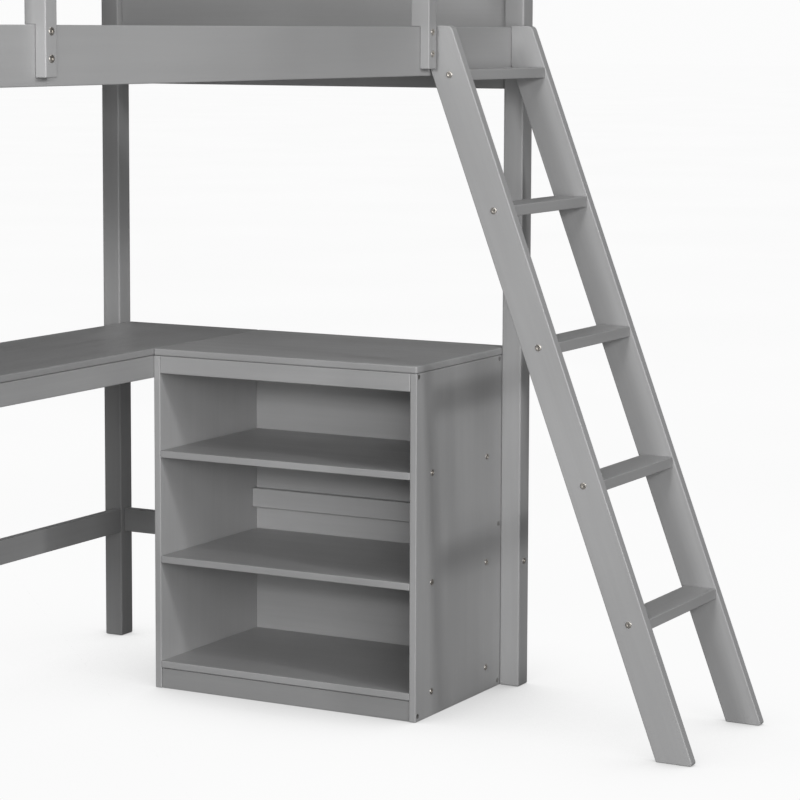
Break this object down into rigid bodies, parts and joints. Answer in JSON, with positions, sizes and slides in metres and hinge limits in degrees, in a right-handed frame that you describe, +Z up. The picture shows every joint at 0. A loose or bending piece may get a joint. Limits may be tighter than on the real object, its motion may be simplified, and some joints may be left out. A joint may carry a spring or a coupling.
{
  "type": "loft bed with desk",
  "caption": "Twin loft bed in painted wood with an L-shaped desk, an open bookcase with shelves under its return, guard boards and a fixed slanted ladder.",
  "frame": {"origin": "on the floor under the middle of the whole object, ladder included", "axes": "+X along the bed towards the end with the bookcase, +Y towards the back (wall) side, away from the ladder, +Z up"},
  "size_m": [2, 1.63, 1.735],
  "materials": {
    "painted_wood": "satin mid-grey paint on smooth solid wood",
    "slat_wood": "matt pale grey paint on planed slats"
  },
  "bodies": {
    "root": {"apron_back": "painted_wood", "apron_front": "painted_wood", "bookcase_back": "painted_wood", "bookcase_bottom": "painted_wood", "bookcase_brace": "painted_wood", "bookcase_header": "painted_wood", "bookcase_plinth": "painted_wood", "bookcase_rear_rail": "painted_wood", "bookcase_shelf_lower": "painted_wood", "bookcase_shelf_upper": "painted_wood", "bookcase_side_left": "painted_wood", "bookcase_side_right": "painted_wood", "desk_bearer_left": "painted_wood", "desk_bearer_right": "painted_wood", "desktop_arm": "painted_wood", "desktop_return": "painted_wood", "end_cap_left": "painted_wood", "end_cap_right": "painted_wood", "end_panel_left": "painted_wood", "end_panel_right": "painted_wood", "end_rail_left": "painted_wood", "end_rail_right": "painted_wood", "guard_back_lower": "painted_wood", "guard_back_stile": "painted_wood", "guard_back_upper": "painted_wood", "guard_front_lower": "painted_wood", "guard_front_upper": "painted_wood", "guard_post_left": "painted_wood", "guard_post_right": "painted_wood", "ladder_stringer_left": "painted_wood", "ladder_stringer_right": "painted_wood", "ladder_tread_1": "painted_wood", "ladder_tread_2": "painted_wood", "ladder_tread_3": "painted_wood", "ladder_tread_4": "painted_wood", "ladder_tread_5": "painted_wood", "ledger_back": "painted_wood", "ledger_front": "painted_wood", "post_back_left": "painted_wood", "post_back_right": "painted_wood", "post_front_left": "painted_wood", "post_front_right": "painted_wood", "side_rail_back": "painted_wood", "side_rail_front": "painted_wood", "slat_01": "slat_wood", "slat_02": "slat_wood", "slat_03": "slat_wood", "slat_04": "slat_wood", "slat_05": "slat_wood", "slat_06": "slat_wood", "slat_07": "slat_wood", "slat_08": "slat_wood", "slat_09": "slat_wood", "slat_10": "slat_wood", "slat_11": "slat_wood", "stretcher_back": "painted_wood", "stretcher_left": "painted_wood", "stretcher_right": "painted_wood"}
  },
  "joints": []
}
